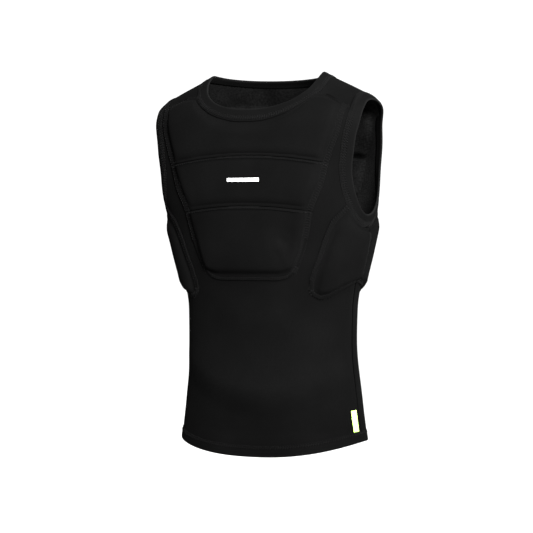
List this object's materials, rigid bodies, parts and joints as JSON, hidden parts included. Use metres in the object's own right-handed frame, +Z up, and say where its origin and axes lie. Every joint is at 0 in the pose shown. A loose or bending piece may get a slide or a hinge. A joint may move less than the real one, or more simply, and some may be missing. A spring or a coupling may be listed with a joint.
{
  "type": "impact vest",
  "caption": "Sleeveless pullover impact vest in black neoprene, with padded chest, back and side panels and stitched edge bands.",
  "frame": {"origin": "where the vest rests on the shoulders, at shoulder height midway between the two neck points", "axes": "+Z up, +X towards the wearer's left, the front faces -Y"},
  "size_m": [0.3852, 0.251, 0.6488],
  "materials": {
    "jersey": "matt black jersey over neoprene foam",
    "band": "matt black jersey band with flatlock stitching",
    "lining": "matt black looped lining",
    "thread": "matt black sewing thread",
    "label": "woven lime label",
    "print": "pale heat-pressed print"
  },
  "bodies": {
    "root": {"front_panel": "jersey", "back_panel": "jersey", "neck_band": "band", "armhole_band_left": "band", "armhole_band_right": "band", "hem_band": "band", "chest_pad_upper": "jersey", "chest_pad_middle": "jersey", "chest_pad_lower": "jersey", "back_pad_upper": "jersey", "back_pad_middle": "jersey", "back_pad_lower": "jersey", "side_pad_front_left": "jersey", "side_pad_front_right": "jersey", "side_pad_back_left": "jersey", "side_pad_back_right": "jersey", "hem_label": "label", "chest_print": "print"}
  },
  "joints": []
}
